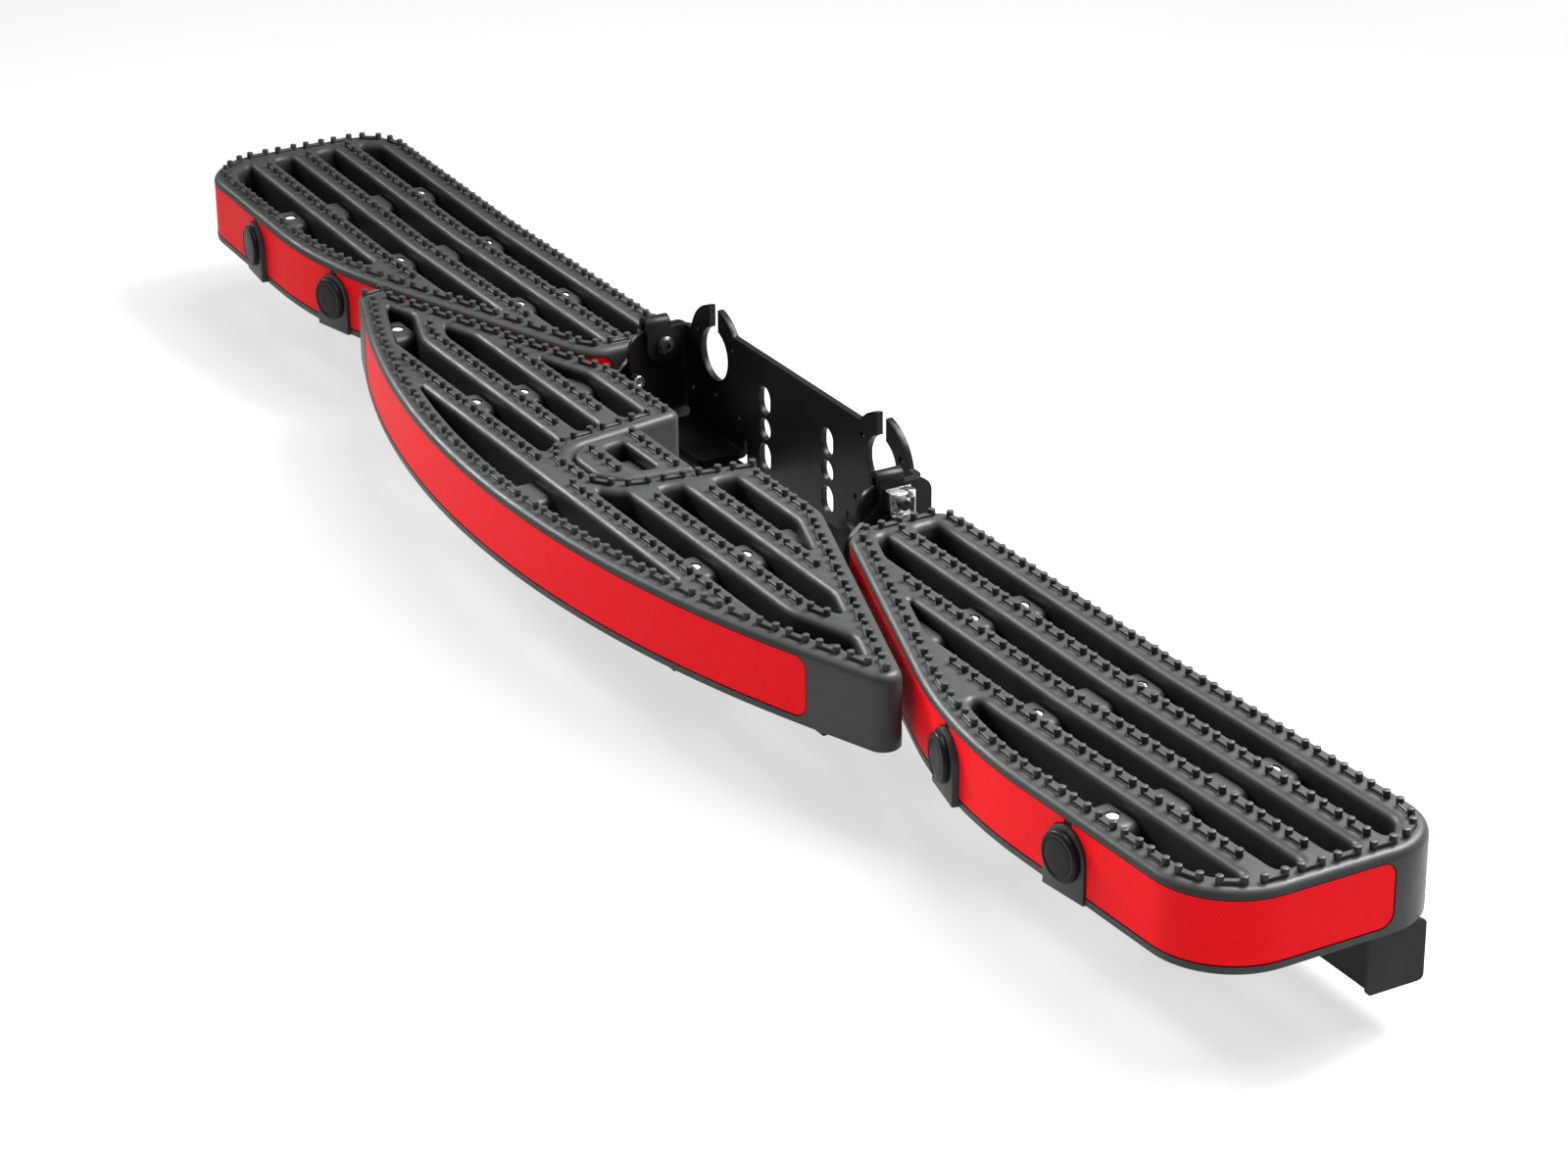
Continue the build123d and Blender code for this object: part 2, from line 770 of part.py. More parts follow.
def cross_bar(place):
    """Channel welded to the front of the tube, under one of the front screws."""
    x, y = place
    start = tube_y - tube_size / 2
    length = start - y + bar_overhang
    face = Rectangle(bar_width, bar_height, align=(Align.CENTER, Align.MAX))
    inner = bar_width - 2 * bar_sheet
    face -= Pos(0, -bar_sheet) * Rectangle(inner, bar_height, align=(Align.CENTER, Align.MAX))
    return extrude(Plane.XZ.offset(-start) * Pos(x, skirt_z) * face, length)


# Carrier under the centre section

def centre_carrier():
    """Flat sheet with two tongues under the shelves, two outer arms and a folded front lip."""
    right = [
        (tongue_inner, carrier_back),
        (tongue_inner, tongue_back),
        (tongue_outer, tongue_back),
        (tongue_outer, carrier_back),
        (carrier_half, carrier_back),
        (carrier_half, carrier_arm_back),
        (carrier_arm_x, carrier_arm_back),
        (carrier_arm_x, carrier_arm_front),
        (carrier_half, carrier_arm_front),
        (carrier_half, carrier_front),
    ]
    left = [(-x, y) for x, y in reversed(right)]
    body = prism(make_face(Polyline(*right, *left, close=True)), carrier_z - carrier_sheet, carrier_z)
    lip_y = (carrier_front - carrier_sheet, carrier_front)
    return body + block((-carrier_half, carrier_half), lip_y, (carrier_z - carrier_lip, carrier_z))


# All nodes

def sided(name, shape):
    """The right-hand piece and its mirror image."""
    return {f"right_{name}": shape, f"left_{name}": mirrored(shape)}


strips = wing_strips()
nodes = {
    "centre_tread": centre_tread(),
    "tow_ball_infill": tow_ball_infill(),
    "centre_reflector": centre_strip(),
    "main_bracket": main_bracket(),
    "centre_carrier": centre_carrier(),
}
nodes |= sided("wing_tread", wing_tread())
nodes |= sided("arm_bracket", arm_bracket())
nodes |= sided("arm_bolt", arm_bolt_solid())
nodes |= sided("cage_nut", cage_nut())
nodes |= sided("locating_pin", locating_pin())
nodes |= sided("tube", tube())
nodes |= sided("end_cap", end_cap())
for position, strip in zip(("inner", "middle", "outer"), strips):
    nodes |= sided(f"{position}_reflector", strip)
for position, place in zip(("inner", "middle", "outer"), wing_screw_places()[3:]):
    nodes |= sided(f"{position}_cross_bar", cross_bar(place))
for position, plane in zip(("inner", "outer"), sensor_planes()):
    nodes |= sided(f"{position}_sensor_plug", plug(plane))

for name, shape in nodes.items():
    export_step(shape, f"parts/{name}.step")
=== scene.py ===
import math

import bmesh
import bpy
from mathutils import Matrix, Vector
from mathutils.geometry import tessellate_polygon


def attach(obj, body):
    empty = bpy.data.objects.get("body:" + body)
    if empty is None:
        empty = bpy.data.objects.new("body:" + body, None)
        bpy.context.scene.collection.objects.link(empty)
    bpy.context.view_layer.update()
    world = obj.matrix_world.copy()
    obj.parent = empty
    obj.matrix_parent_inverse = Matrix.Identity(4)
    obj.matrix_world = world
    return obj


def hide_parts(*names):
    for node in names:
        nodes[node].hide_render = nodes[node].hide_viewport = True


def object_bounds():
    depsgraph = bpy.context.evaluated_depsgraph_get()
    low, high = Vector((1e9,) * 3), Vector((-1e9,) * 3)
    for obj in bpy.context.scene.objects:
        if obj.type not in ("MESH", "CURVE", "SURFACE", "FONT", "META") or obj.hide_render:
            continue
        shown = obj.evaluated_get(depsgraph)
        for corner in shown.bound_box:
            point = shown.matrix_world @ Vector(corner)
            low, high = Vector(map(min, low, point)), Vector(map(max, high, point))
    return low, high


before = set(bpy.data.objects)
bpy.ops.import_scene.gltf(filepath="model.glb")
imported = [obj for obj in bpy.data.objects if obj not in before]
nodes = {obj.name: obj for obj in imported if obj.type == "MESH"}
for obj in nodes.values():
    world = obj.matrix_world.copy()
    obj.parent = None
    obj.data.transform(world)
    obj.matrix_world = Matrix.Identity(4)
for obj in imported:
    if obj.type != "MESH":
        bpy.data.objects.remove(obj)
cad_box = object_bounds()

# Metres and radians in the CAD frame, with profiles, the cage's blocks and the pin in millimetres
MM = 0.001
SIDES = ("right", "left")
POSITIONS = ("inner", "middle", "outer")

# Outlines: when points are one, when a turn is none or blunt, and how corners are cut
SAME_POINT = 1e-6
STRAIGHT_TURN = 0.001
BLUNT_TURN = 0.035
CUT_SHARE = 0.3
CUT_SHRINK = 0.45
LEAST_MITRE = 0.3
OUTLINE_HEIGHT = 20.7 * MM
OUTER_CORNER = 2.0 * MM
OUTER_ROUNDS = 2
SLOT_CORNER = 3.0 * MM
SLOT_ROUNDS = 3

# Edges: faces meet smoothly below this angle, and a small round edge has its middle step at this share
SMOOTH_ANGLE = 0.6
EDGE_SHARE = 0.3

# Treads
DECK = 25.0 * MM
SKIRT = -29.0 * MM
CEILING = 20.0 * MM
WALL = 3.5 * MM
EDGE_ROUND = 6.0 * MM
EDGE_STEPS = 7
INFILL_ROUND = 4.5 * MM
FLAT_MARGIN = 0.6 * MM
FOOT_ROUND = 0.8 * MM

# Cleats: two studs and the bar between them, on each edge of a solid that lies above the crest height
STUD_REACH = 7.1 * MM
STUD_RADIUS = 2.55 * MM
STUD_HEIGHT = 5.3 * MM
STUD_EDGE = 0.4 * MM
STUD_SIDES = 20
BAR_WIDTH = 4.3 * MM
BAR_HEIGHT = 2.5 * MM
CLEAT_FOOT = 0.3 * MM
CLEAT_SINK = 0.5 * MM
CREST = 28.4 * MM

# Pads, from near the front rib to the far end
PAD_TOP = 15.0 * MM
PAD_FLAT = 9.5 * MM
PAD_ROUND = 9.5 * MM
PAD_DROP = 10.0 * MM
PAD_CURVE = 0.8
PAD_STEPS = 12
PAD_NEAR = -9.6 * MM
PAD_FAR = 6.8 * MM
PAD_EDGE = 0.7 * MM
PAD_FOOT = 0.0 * MM

# Rows and columns of pads
FIRST_SLOT_MIDDLE = -22.45 * MM
ROW_PITCH = 38.9 * MM
BEND_X = 470.0 * MM
BEND_SLOPE = 0.034
WING_COLUMNS = (330.3 * MM, 466.7 * MM, 602.5 * MM)
CENTRE_COLUMN = 167.4 * MM
CENTRE_ROWS = (3, 4)
CENTRE_OUTER = (330.0 * MM, -165.0 * MM)
CENTRE_PLAIN_COLUMN = 160.0 * MM
CENTRE_PLAIN_ROW = 2
CENTRE_FRONT_ROW = 5
INFILL_ROW = 3

# Screws and their holes, which lie a little in front of the pad's middle
SCREW_Y = -1.0 * MM
HOLE_RADIUS = 5.1 * MM
HOLE_DEPTH = 3.0 * MM
HOLE_SIDES = 28
SCREW_SIDES = 24
SCREW_HEAD = ((4.2, -0.2), (4.2, 1.7), (4.1, 2.0), (3.8, 2.2), (3.2, 2.25), (2.1, 2.3))
SCREW_RECESS = ((1.9, 2.3), (1.8, 1.0))

# Strips, and the cutter of their recesses
STRIP_HIGH = 19.0 * MM
STRIP_LOW = -23.0 * MM
STRIP_LEAST = 0.4 * MM
STRIP_ROUND = 9.0 * MM
STRIP_ROUND_STEPS = 9
STRIP_FACE = 0.3 * MM
STRIP_BACK = 1.5 * MM
STRIP_MARGIN = 0.8 * MM
STRIP_STEP = 2.0 * MM
CUTTER_PROUD = 1.0 * MM
WING_STRIP_START = (187.0 * MM, -56.0 * MM)
WING_STRIP_END = (739.0 * MM, -31.0 * MM)
CENTRE_STRIP_X = 335.0 * MM
CENTRE_STRIP_Y = -189.0 * MM

# Sensor seats and plugs: place along the front wall and turn, and the strips' room for them
SENSORS = ((459.0 * MM, math.radians(13.0)), (602.0 * MM, math.radians(-6.0)))
SENSOR_Z = -3.0 * MM
SEAT_RADIUS = 19.0 * MM
SEAT_ROOM = 19.8 * MM
SEAT_ROOM_STEPS = 12
SEAT_ROOM_SHIFT = 0.6
SEAT_ROOM_HAIR = 1e-5
SEAT_NECK = 4.0 * MM
SEAT_PROUD = 3.0 * MM
SEAT_DEPTH = 6.5 * MM
SEAT_STEPS = 24
SEAT_EDGE = 0.8 * MM
SEAT_EDGE_STEP = 0.25 * MM
FRONT_Y = -100.0 * MM
PLUG_SIDES = 64
PLUG_SIDE = ((15.6, 0.0), (16.2, 0.0), (16.5, 0.5), (16.5, 3.1), (16.2, 3.7), (15.4, 4.3), (14.7, 4.5))
PLUG_GROOVE = ((13.0, 4.5), (12.7, 4.35), (12.5, 4.05), (12.2, 4.05), (12.0, 4.25), (11.6, 4.35))
PLUG_FACE = ((6.0, 4.4), (1.0, 4.4))

# Cage nuts: the flange's face on the bolt's axis, and blocks from there as (low corner, high corner, edge)
CAGE_PLACE = (174.0, -24.5, 30.5)
CAGE_PLATE = ((0.0, -10.0, -10.0), (1.2, 10.0, 10.0), 0.3)
CAGE_SPRING = ((0.6, -10.0, -9.0), (7.6, -8.7, 9.1), 0.4)
CAGE_EAR = ((6.3, -9.9, 3.5), (7.7, -3.9, 9.3), 0.4)
CAGE_LIP = ((5.2, -8.5, -10.0), (8.8, 8.5, -6.9), 1.2)
CAGE_NUT = ((0.8, -6.7, -6.1), (6.2, 6.7, 6.5), 0.8)

# Locating pins, coated up to the bare end
PIN_PLACE = (174.0, -48.0, 6.0)
PIN_COATED = 15.25
PIN_SIDES = 32
PIN_PROFILE = ((4.75, 0.0), (4.75, 15.3), (4.5, 15.7), (4.0, 16.0), (2.6, 16.0), (2.3, 15.7), (0.8, 15.6))

# Bevelled edges, of the cage's blocks and of the CAD nodes that stay
BRACKET_EDGE = 0.7 * MM
CARRIER_EDGE = 0.5 * MM
CAP_EDGE = 0.5 * MM
TUBE_EDGE = 0.4 * MM
CROSS_BAR_EDGE = 0.4 * MM
BOLT_EDGE = 0.3 * MM
BEVEL_ANGLE = math.radians(40)
BEVEL_STEPS = 2
BEVEL_PROFILE = 0.5
WELD_REACH = 1e-5

# Finishes
NOISE_RANGE = (0.3, 0.7)
CLOUD_SCALE = 14.0
CLOUD_DETAIL = 3.0
CLOUD_RANGE = (0.32, 0.68)
GLOSS_SCALE = 60.0
GLOSS_DETAIL = 4.0
GRAIN_DETAIL = 2.0
GRAIN_ROUGHNESS = 0.6
GRAIN_HEIGHT = 0.2 * MM
# Painted shade: the base colour darkened by ambient occlusion in narrow recesses, over this range and with
# these samples
PAINTED_SHADE_RANGE = (0.25, 0.75)
PAINTED_SHADE_SAMPLES = 8
CELL_WIDTH = 2.6 * MM
CELL_HEIGHT = 0.4 * MM
CELL_STRENGTH = 0.25
CELL_COLOURS = ((0.0, (0.86, 0.005, 0.011)), (0.40, (0.84, 0.004, 0.009)), (0.56, (0.54, 0.001, 0.003)))
SHEET_ROUGHNESS = 0.5
SHEET_SPECULAR = 0.06

# Stage
FLOOR_DROP = 25 * MM
FLOOR_REACH = 12.0
FLOOR_GREYS = (0.32, 0.34)
FLOOR_CLOUD_SCALE = 2.0
FLOOR_ROUGHNESS = 0.9
FLOOR_SPECULAR = 0.1
FLOOR_GLOW = 0.66
WORLD_STRENGTH = 0.3

# Camera at the photograph's place
AZIMUTH = math.radians(60.46)
ELEVATION = math.radians(25.0)
ROLL = math.radians(-0.51)
FOCAL_PIXELS = 4229.0
PHOTO_WIDTH = 1600
FILM_WIDTH = 36.0
CAMERA_SHIFT = Vector((-44.01, 100.51, 2952.0)) * MM
FRAME_SHIFT = Vector((0, -65.0, 15.3)) * MM


# Outlines

def area(points):
    return sum(points[i - 1].cross(points[i]) for i in range(len(points))) / 2


def tidy_loop(points):
    """Anticlockwise list of 2D points without doubles and without points on straight runs."""
    kept = []
    for i, point in enumerate(points):
        if (point - points[i - 1]).length > SAME_POINT:
            kept.append(point)
    corners = []
    for i, point in enumerate(kept):
        into = point - kept[i - 1]
        out = kept[(i + 1) % len(kept)] - point
        if abs(into.angle_signed(out)) > STRAIGHT_TURN:
            corners.append(point)
    if area(corners) < 0:
        corners.reverse()
    return corners


def welded(node):
    """Mesh of a CAD node with its doubled vertices joined."""
    bm = bmesh.new()
    bm.from_mesh(nodes[node].data)
    bmesh.ops.remove_doubles(bm, verts=bm.verts[:], dist=SAME_POINT)
    return bm


def section_loops(node, height):
    """Closed outlines of a CAD node at a height, largest first."""
    bm = welded(node)
    parts = bm.verts[:] + bm.edges[:] + bm.faces[:]
    cut = bmesh.ops.bisect_plane(bm, geom=parts, plane_co=(0, 0, height), plane_no=(0, 0, 1))
    links = {}
    for element in cut["geom_cut"]:
        if isinstance(element, bmesh.types.BMEdge):
            a, b = element.verts
            links.setdefault(a, []).append(b)
            links.setdefault(b, []).append(a)
    loops = []
    while links:
        at = next(iter(links))
        loop = []
        while at in links:
            loop.append(at.co.xy.copy())
            following = [other for other in links.pop(at) if other in links]
            if following:
                at = following[0]
        loops.append(tidy_loop(loop))
    bm.free()
    return sorted(loops, key=lambda points: -area(points))


def soften(points, reach, rounds):
    """Cut the corners of a loop, a little less each round."""
    for _ in range(rounds):
        cut = []
        for i, point in enumerate(points):
            into = point - points[i - 1]
            out = points[(i + 1) % len(points)] - point
            if abs(into.angle_signed(out)) < BLUNT_TURN:
                cut.append(point)
                continue
            back = min(reach, CUT_SHARE * into.length)
            ahead = min(reach, CUT_SHARE * out.length)
            cut += [point - into.normalized() * back, point + out.normalized() * ahead]
        points = cut
        reach *= CUT_SHRINK
    return points


def tread_outlines(node):
    """Softened outline of a CAD tread, and those of its slots."""
    loops = section_loops(node, OUTLINE_HEIGHT)
    slots = [soften(loop, SLOT_CORNER, SLOT_ROUNDS) for loop in loops[1:]]
    return soften(loops[0], OUTER_CORNER, OUTER_ROUNDS), slots


def normals(points):
    """Outward unit normal at each point of a loop, and the mitre length there."""
    found = []
    for i, point in enumerate(points):
        into = (point - points[i - 1]).normalized()
        out = (points[(i + 1) % len(points)] - point).normalized()
        normal = Vector((into.y + out.y, -into.x - out.x)).normalized()
        mitre = 1 / max(LEAST_MITRE, normal.dot(Vector((into.y, -into.x))))
        found.append((normal, mitre))
    return found


def grown(points, amount):
    return [p + normal * (amount * mitre) for p, (normal, mitre) in zip(points, normals(points))]


def circle(radius, sides, height):
    """Points of a circle round the Z axis."""
    turns = [2 * math.pi * i / sides for i in range(sides)]
    return [Vector((radius * math.cos(t), radius * math.sin(t), height)) for t in turns]


def hexagon(radius, sides, height):
    """Points of a circle, drawn in to the sides of its hexagon."""
    points = circle(radius, sides, height)
    for i, point in enumerate(points):
        turn = 2 * math.pi * i / sides
        point.xy = point.xy * math.cos(math.pi / 6) / math.cos(turn % (math.pi / 3) - math.pi / 6)
    return points


def in_metres(profile):
    return [(radius * MM, height * MM) for radius, height in profile]


# Mesh building

def ring(bm, points, amount, height):
    return [bm.verts.new((p.x, p.y, height)) for p in grown(points, amount)]


def placed(bm, place, points):
    """Vertices at points that are given in the frame of a place."""
    return [bm.verts.new(place @ point) for point in points]


def bridge(bm, low, high):
    for i in range(len(low)):
        bm.faces.new((low[i - 1], low[i], high[i], high[i - 1]))


def fill(bm, rings):
    verts = [v for one in rings for v in one]
    for triangle in tessellate_polygon([[v.co for v in one] for one in rings]):
        bm.faces.new([verts[i] for i in triangle])


def prism_rings(bm, rings):
    """Closed solid through rings of equal count."""
    for low, high in zip(rings, rings[1:]):
        bridge(bm, low, high)
    bm.faces.new(rings[0][::-1])
    bm.faces.new(rings[-1])


def lathe(bm, profile, sides, place):
    """Turn (radius, height) points round the local Z axis of a place; both ends are closed."""
    prism_rings(bm, [placed(bm, place, circle(radius, sides, height)) for radius, height in profile])


def mesh_from(bm, name, flip=False):
    if flip:
        bmesh.ops.scale(bm, vec=(-1, 1, 1), verts=bm.verts[:])
    bmesh.ops.recalc_face_normals(bm, faces=bm.faces[:])
    mesh = bpy.data.meshes.new(name)
    bm.to_mesh(mesh)
    return mesh


def piece(name, mesh, finish):
    """Object of a mesh, smooth but for its sharp edges, riding on the step."""
    mesh.shade_smooth()
    mesh.set_sharp_from_angle(angle=SMOOTH_ANGLE)
    obj = bpy.data.objects.new(name, mesh)
    bpy.context.scene.collection.objects.link(obj)
    mesh.materials.append(finish)
    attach(obj, "root")
    return obj


def both(name, bm, finish, node=None):
    """The right-hand piece and its mirror image."""
    for side in SIDES:
        copy = bm.copy()
        obj = piece(f"{side}_{name}", mesh_from(copy, f"{side}_{name}", side == "left"), finish)
        copy.free()
        if node:
            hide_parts(f"{side}_{node}")


def cut_by(mesh, cutter):
    """The mesh less the cutter's volume."""
    body = bpy.data.objects.new("body_for_cut", mesh)
    tool = bpy.data.objects.new("tool_for_cut", cutter)
    for obj in (body, tool):
        bpy.context.scene.collection.objects.link(obj)
    change = body.modifiers.new("cut", "BOOLEAN")
    change.operation = "DIFFERENCE"
    change.solver = "EXACT"
    change.object = tool
    bpy.context.view_layer.update()
    result = bpy.data.meshes.new_from_object(body.evaluated_get(bpy.context.evaluated_depsgraph_get()))
    for obj in (body, tool):
        bpy.data.objects.remove(obj)
    return result


# Treads

def quarter(radius, steps):
    """(inset, drop) pairs of a quarter-round from the top to the side."""
    turns = [math.pi / 2 * i / steps for i in range(steps + 1)]
    return [(radius - radius * math.sin(t), radius - radius * math.cos(t)) for t in turns]


def shell(outer, slots, radius):
    """Hollow slotted deck with rounded upper edges and a skirt."""
    bm = bmesh.new()
    tops, ceilings = [], []
    for points, side in [(outer, -1)] + [(slot, 1) for slot in slots]:
        levels = [(radius + FLAT_MARGIN, DECK)]
        levels += [(inset, DECK - drop) for inset, drop in quarter(radius, EDGE_STEPS)]
        levels += [(0, SKIRT + FOOT_ROUND), (FOOT_ROUND, SKIRT), (WALL, SKIRT), (WALL, CEILING)]
        rings = [ring(bm, points, side * inset, height) for inset, height in levels]
        for high, low in zip(rings, rings[1:]):
            bridge(bm, low, high)
        tops.append(rings[0])
        ceilings.append(rings[-1])
    fill(bm, tops)
    fill(bm, ceilings)
    return bm


def add_pad(bm, x, y, foot, turn=0.0, hole=False):
    """Seat in a slot, joined to the front rib, with round shoulders and sometimes a screw hole."""
    half = [Vector((PAD_FLAT + PAD_ROUND, foot))]
    for i in range(PAD_STEPS + 1):
        angle = math.pi / 2 * (1 - i / PAD_STEPS)
        out = PAD_ROUND * max(0, math.sin(angle)) ** PAD_CURVE
        drop = PAD_DROP * (1 - max(0, math.cos(angle)) ** PAD_CURVE)
        half.append(Vector((PAD_FLAT + out, PAD_TOP - drop)))
    outline = half + [Vector((-p.x, p.y)) for p in reversed(half)]
    place = Matrix.Translation((x, y, 0)) @ Matrix.Rotation(turn, 4, "Z")
    levels = (
        (PAD_NEAR, 0),
        (PAD_FAR - PAD_EDGE, 0),
        (PAD_FAR - EDGE_SHARE * PAD_EDGE, EDGE_SHARE * PAD_EDGE),
        (PAD_FAR, PAD_EDGE),
    )
    rings = []
    for depth, inset in levels:
        points = [Vector((p.x, depth, p.y)) for p in grown(outline, -inset)]
        rings.append(placed(bm, place, points))
    flat = len(half)
    for level, (low, high) in enumerate(zip(rings, rings[1:])):
        for i in range(len(outline)):
            if not (hole and level == 0 and i == flat):
                bm.faces.new((low[i - 1], low[i], high[i], high[i - 1]))
    bm.faces.new(rings[0][::-1])
    bm.faces.new(rings[-1])
    if hole:
        drill = place @ Matrix.Translation((0, SCREW_Y, 0))
        rim = placed(bm, drill, circle(HOLE_RADIUS, HOLE_SIDES, PAD_TOP))
        bottom = placed(bm, drill, circle(HOLE_RADIUS, HOLE_SIDES, PAD_TOP - HOLE_DEPTH))
        corners = [rings[0][flat - 1], rings[0][flat], rings[1][flat], rings[1][flat - 1]]
        fill(bm, [corners, rim])
        bridge(bm, bottom, rim)
        bm.faces.new(bottom)


def add_screw(bm, x, y):
    """Low head with a six-sided recess, sunk in its hole."""
    place = Matrix.Translation((x, y + SCREW_Y, PAD_TOP - HOLE_DEPTH))
    rings = [circle(radius, SCREW_SIDES, height) for radius, height in in_metres(SCREW_HEAD)]
    rings += [hexagon(radius, SCREW_SIDES, height) for radius, height in in_metres(SCREW_RECESS)]
    prism_rings(bm, [placed(bm, place, points) for points in rings])


def screws_at(places):
    bm = bmesh.new()
    for x, y in places:
        add_screw(bm, x, y)
    return bm


def crests(node):
    """Middle and direction of each ridge on a CAD tread."""
    bm = welded(node)
    found = []
    for edge in bm.edges:
        a, b = (v.co for v in edge.verts)
        if min(a.z, b.z) > CREST:
            found.append(((a + b) / 2, math.atan2(b.y - a.y, b.x - a.x)))
    bm.free()
    return found


def add_cleat(bm, at, turn):
    """Two flat-topped studs and the low bar that joins them."""
    base = Matrix.Translation((at.x, at.y, DECK)) @ Matrix.Rotation(turn, 4, "Z")
    profile = [
        (STUD_RADIUS + CLEAT_FOOT, -CLEAT_SINK),
        (STUD_RADIUS + CLEAT_FOOT, 0),
        (STUD_RADIUS, CLEAT_FOOT),
        (STUD_RADIUS, STUD_HEIGHT - STUD_EDGE),
        (STUD_RADIUS - EDGE_SHARE * STUD_EDGE, STUD_HEIGHT - EDGE_SHARE * STUD_EDGE),
        (STUD_RADIUS - STUD_EDGE, STUD_HEIGHT),
    ]
    for side in (-1, 1):
        lathe(bm, profile, STUD_SIDES, base @ Matrix.Translation((side * STUD_REACH, 0, 0)))
    levels = [
        (-CLEAT_FOOT, -CLEAT_SINK),
        (-CLEAT_FOOT, 0),
        (0, CLEAT_FOOT),
        (0, BAR_HEIGHT - STUD_EDGE),
        (STUD_EDGE, BAR_HEIGHT),
    ]
    rings = []
    for narrow, height in levels:
        half = BAR_WIDTH / 2 - narrow
        corners = ((-STUD_REACH, -half), (STUD_REACH, -half), (STUD_REACH, half), (-STUD_REACH, half))
        rings.append(placed(bm, base, [Vector((x, y, height)) for x, y in corners]))
    prism_rings(bm, rings)


def add_cleats(bm, node):
    """A cleat on each ridge of a CAD tread."""
    for at, turn in crests(node):
        add_cleat(bm, at, turn)


# Walls and the strips along them

class Wall:
    """A loop as a path, by distance along it."""

    def __init__(self, points):
        self.points = points
        self.normals = [normal for normal, _ in normals(points)]
        self.at = [0.0]
        for i in range(len(points)):
            self.at.append(self.at[-1] + (points[(i + 1) % len(points)] - points[i]).length)
        self.length = self.at[-1]

    def find(self, x, y, after=0.0):
        """Distance along the loop of the nearest point, past another distance."""
        target = Vector((x, y))
        best = (math.inf, 0.0)
        for i, start in enumerate(self.points):
            way = self.points[(i + 1) % len(self.points)] - start
            share = max(0.0, min(1.0, (target - start).dot(way) / way.length_squared))
            best = min(best, ((start + way * share - target).length, self.at[i] + way.length * share))
        return best[1] if best[1] >= after else best[1] + self.length

    def front(self, x):
        """Distance along the loop of its front part at x."""
        for i, start in enumerate(self.points):
            end = self.points[(i + 1) % len(self.points)]
            if start.x <= x < end.x and start.y < FRONT_Y:
                return self.at[i] + (end - start).length * (x - start.x) / (end.x - start.x)

    def place(self, distance):
        """Point and outward normal."""
        distance %= self.length
        i = next(k for k in range(len(self.points)) if self.at[k + 1] >= distance)
        j = (i + 1) % len(self.points)
        share = (distance - self.at[i]) / (self.at[i + 1] - self.at[i])
        point = self.points[i].lerp(self.points[j], share)
        return point, self.normals[i].lerp(self.normals[j], share).normalized()


def strip_range(distance, start, end, grow, seats):
    """Lowest and highest point of a strip at a distance along the wall."""
    low, high, radius = STRIP_LOW - grow, STRIP_HIGH + grow, STRIP_ROUND + grow
    near = min(distance - start, end - distance)
    if near < radius:
        pull = radius - math.sqrt(max(0, radius**2 - (radius - near) ** 2))
        low, high = low + pull, high - pull
    for seat in seats:
        off = abs(distance - seat)
        if off < SEAT_ROOM:
            low = max(low, SENSOR_Z + math.sqrt(SEAT_ROOM**2 - off**2))
    return low, high


def strip_stops(start, end, seats):
    """Distances at which a strip gets a column."""
    count = math.ceil((end - start) / STRIP_STEP)
    stops = {start + (end - start) * i / count for i in range(count + 1)}
    for i in range(STRIP_ROUND_STEPS + 1):
        pull = STRIP_ROUND * (1 - math.cos(math.pi / (2 * STRIP_ROUND_STEPS) * i))
        stops |= {start + pull, end - pull}
    reaches = [SEAT_NECK, SEAT_ROOM + SEAT_ROOM_HAIR, SEAT_ROOM - SEAT_ROOM_HAIR]
    for i in range(SEAT_ROOM_STEPS):
        reaches.append(SEAT_ROOM * math.sin(math.pi / (2 * SEAT_ROOM_STEPS) * (i + SEAT_ROOM_SHIFT)))
    for seat in seats:
        stops |= {seat + side * reach for side in (-1, 1) for reach in reaches}
    return sorted(stop for stop in stops if start <= stop <= end)


def strip_columns(start, end, grow, seats, part_start, part_end):
    """(distance, low, high) at the stops of one part of a strip."""
    columns = []
    for stop in strip_stops(start, end, seats):
        low, high = strip_range(stop, start, end, grow, seats)
        if part_start <= stop <= part_end and high - low > STRIP_LEAST:
            columns.append((stop, low, high))
    return columns


def add_strip(bm, wall, columns, face, back, uv=None):
    """Solid band along a wall through columns of (distance, low, high)."""
    rows = []
    for distance, low, high in columns:
        point, normal = wall.place(distance)
        corners = []
        for inset, height in ((face, low), (face, high), (back, high), (back, low)):
            at = point - normal * inset
            corners.append(bm.verts.new((at.x, at.y, height)))
        rows.append(corners)
    distances = [distance for distance, _, _ in columns]
    for before, after, a, b in zip(distances, distances[1:], rows, rows[1:]):
        for i in range(len(a)):
            j = (i + 1) % len(a)
            made = bm.faces.new((a[i], b[i], b[j], a[j]))
            if uv:
                for loop in made.loops:
                    loop[uv].uv = (before if loop.vert in a else after, loop.vert.co.z)
    bm.faces.new(rows[0])
    bm.faces.new(rows[-1][::-1])


def strip_mesh(wall, start, end, seats, part_start, part_end):
    bm = bmesh.new()
    uv = bm.loops.layers.uv.new("along")
    columns = strip_columns(start, end, 0, seats, part_start, part_end)
    add_strip(bm, wall, columns, STRIP_FACE, STRIP_BACK, uv)
    return bm


def recessed_shell(outer, slots, wall, start, end):
    """Shell with the recess of a strip that runs from start to end along its wall."""
    low, high = start - STRIP_MARGIN, end + STRIP_MARGIN
    columns = strip_columns(low, high, STRIP_MARGIN, [], low, high)
    cutter = bmesh.new()
    add_strip(cutter, wall, columns, -CUTTER_PROUD, STRIP_BACK)
    body = mesh_from(shell(outer, slots, EDGE_ROUND), "shell")
    bm = bmesh.new()
    bm.from_mesh(cut_by(body, mesh_from(cutter, "cutter")))
    return bm


# Materials

